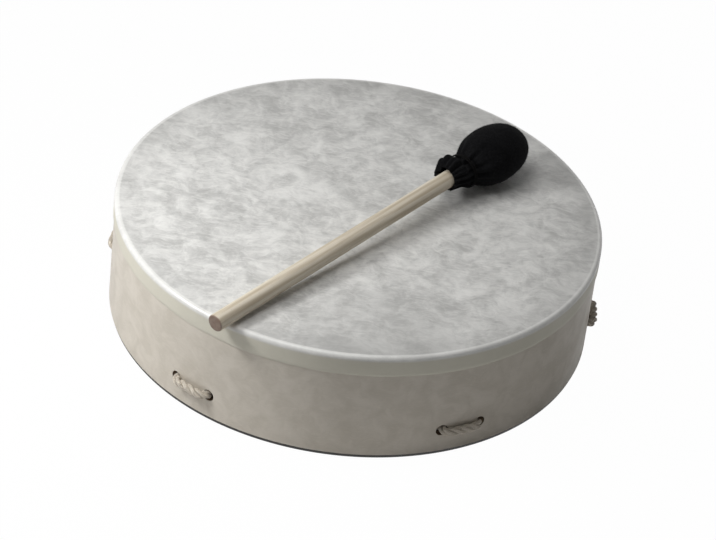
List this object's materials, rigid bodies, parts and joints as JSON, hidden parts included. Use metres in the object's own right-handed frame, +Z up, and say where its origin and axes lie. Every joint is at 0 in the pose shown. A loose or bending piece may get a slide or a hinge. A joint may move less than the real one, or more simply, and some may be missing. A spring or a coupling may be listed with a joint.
{
  "type": "buffalo drum",
  "caption": "Shallow round frame drum with one fibre-film head, an open back with a rope-laced grip ring, and a padded wooden mallet lying on the head.",
  "frame": {"origin": "centre of the shell's open edge, which the drum stands on", "axes": "+Z up through the head; -Y towards the widest gap between two rope stitches, the side nearest the camera; +X to the camera's right"},
  "size_m": [0.3672, 0.3556, 0.1323],
  "materials": {
    "shell_fibre": "matt pressed wood fibre",
    "wrap_film": "satin cream covering",
    "head_film": "matt mottled grey-white film",
    "rope": "pale natural braided rope",
    "twine": "waxed natural twine",
    "stick_wood": "sanded pale hardwood",
    "core_foam": "soft rubber foam",
    "cover_cloth": "black fleece",
    "tie_cord": "black cord"
  },
  "bodies": {
    "drum": {"shell": "shell_fibre", "shell_wrap": "wrap_film", "drumhead": "head_film", "rope_lacing": "rope", "grip_ring": "rope", "lacing_twine": "twine"},
    "mallet": {"mallet_stick": "stick_wood", "mallet_core": "core_foam", "mallet_cover": "cover_cloth", "mallet_tie": "tie_cord"}
  },
  "joints": [
    {"name": "mallet_lift", "type": "slide", "parent": "drum", "child": "mallet", "axis": [0, 0, 1], "range_m": [0, 0.15]}
  ]
}
